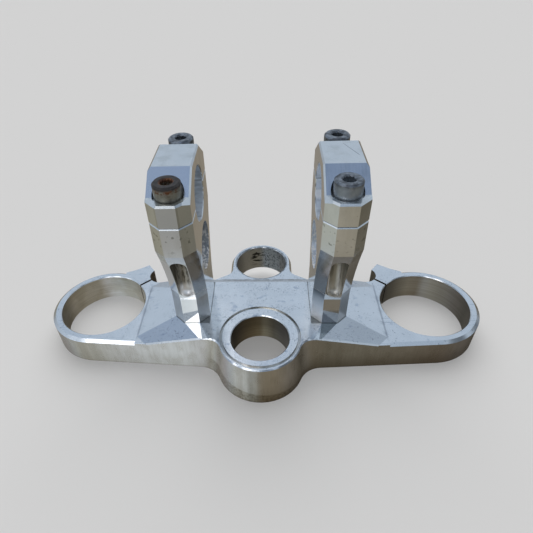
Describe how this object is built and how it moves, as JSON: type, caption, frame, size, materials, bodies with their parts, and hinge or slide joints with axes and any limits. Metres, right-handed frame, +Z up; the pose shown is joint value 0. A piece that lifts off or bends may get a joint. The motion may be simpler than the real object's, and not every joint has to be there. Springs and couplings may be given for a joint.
{
  "type": "motorcycle triple clamp",
  "caption": "Machined top fork yoke with slit fork clamp rings, a central stem bore, an ignition lock ring and upright handlebar risers closed by bolted caps.",
  "frame": {"origin": "on the steering stem axis, level with the flat underside of the yoke, in the mouth of the steering head recess", "axes": "+X to the rider's right, +Y from the stem towards the ignition lock ring, +Z up along the stem bore"},
  "size_m": [0.272, 0.1164, 0.1242],
  "materials": {
    "plate_aluminium": "machined, lightly worn",
    "riser_aluminium": "machined",
    "dark_steel": "blackened",
    "rusted_steel": "blackened with surface rust"
  },
  "bodies": {
    "root": {"yoke_plate": "plate_aluminium", "riser_left": "riser_aluminium", "riser_right": "riser_aluminium", "bar_cap_left": "riser_aluminium", "bar_cap_right": "riser_aluminium", "cap_screw_rear_left": "rusted_steel", "cap_screw_rear_right": "dark_steel", "cap_screw_front_left": "dark_steel", "cap_screw_front_right": "dark_steel", "mount_screw_front_left": "dark_steel", "mount_screw_front_right": "dark_steel", "mount_screw_rear_left": "dark_steel", "mount_screw_rear_right": "dark_steel", "pinch_screw_left": "dark_steel", "pinch_screw_right": "dark_steel"}
  },
  "joints": []
}
